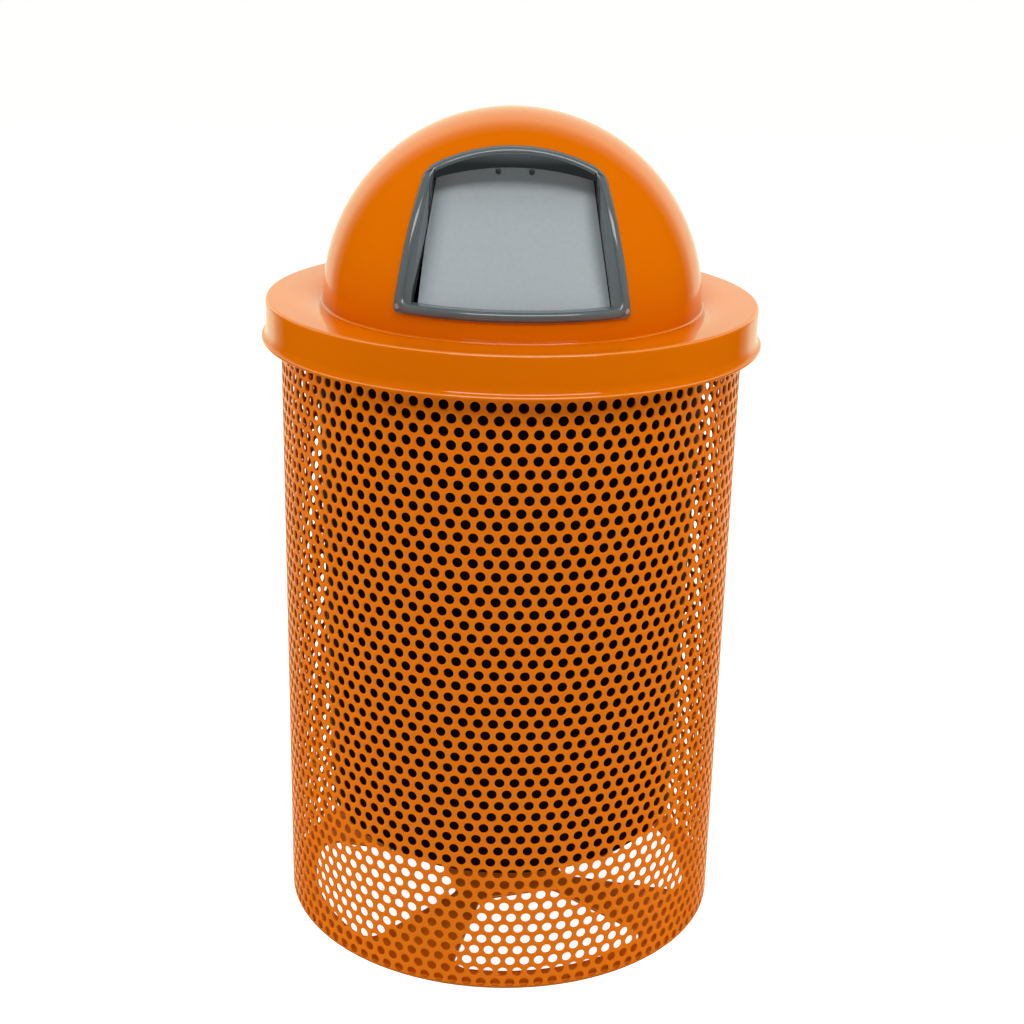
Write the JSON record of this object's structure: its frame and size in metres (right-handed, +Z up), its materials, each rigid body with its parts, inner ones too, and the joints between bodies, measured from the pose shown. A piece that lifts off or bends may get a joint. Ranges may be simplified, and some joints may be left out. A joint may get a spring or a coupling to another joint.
{
  "type": "dome top waste receptacle",
  "caption": "Round perforated metal litter bin with a hanging liner and a lift-off domed lid whose front door swings inwards.",
  "frame": {"origin": "middle of the flat base on the floor", "axes": "+Z up, the door faces -Y"},
  "size_m": [0.6569, 0.6568, 1.1056],
  "materials": {
    "orange_coat": "thick glossy plastic coating on perforated steel",
    "orange_gloss": "glossy enamel",
    "black_plastic": "satin moulded plastic",
    "grey_frame": "satin grey moulding",
    "grey_paint": "satin grey paint",
    "zinc": "zinc plated",
    "rivet_metal": "plain",
    "spring_steel": "plain spring wire"
  },
  "bodies": {
    "basket": {"basket_wall": "orange_coat", "rim_hoop": "orange_coat", "liner_ring": "orange_coat", "base_plate": "orange_coat"},
    "liner_tub": {"liner": "black_plastic"},
    "lid": {"lid_shell": "orange_gloss", "door_frame": "grey_frame", "frame_screws": "zinc", "frame_washers": "zinc", "frame_nuts": "zinc", "frame_leaf": "zinc", "leaf_rivets": "rivet_metal", "hinge_pin": "zinc", "door_spring": "spring_steel"},
    "door": {"door_flap": "grey_paint", "door_leaf": "zinc", "flap_rivets": "rivet_metal"}
  },
  "joints": [
    {"name": "lid_lift", "type": "slide", "parent": "basket", "child": "lid", "axis": [0, 0, 1], "range_m": [0, 0.8]},
    {"name": "liner_lift", "type": "slide", "parent": "basket", "child": "liner_tub", "axis": [0, 0, 1], "range_m": [0, 0.72]},
    {"name": "door_swing", "type": "hinge", "parent": "lid", "child": "door", "pos_m": [0, -0.105, 1.05594], "axis": [1, 0, 0], "range_deg": [0, 80], "stiffness_Nm_per_rad": 0.25, "springref_deg": -114.59, "deforming": ["door_spring"]}
  ],
  "couplings": [
    {"joint": "liner_lift", "follows": "lid_lift", "ratio": 0.9}
  ]
}
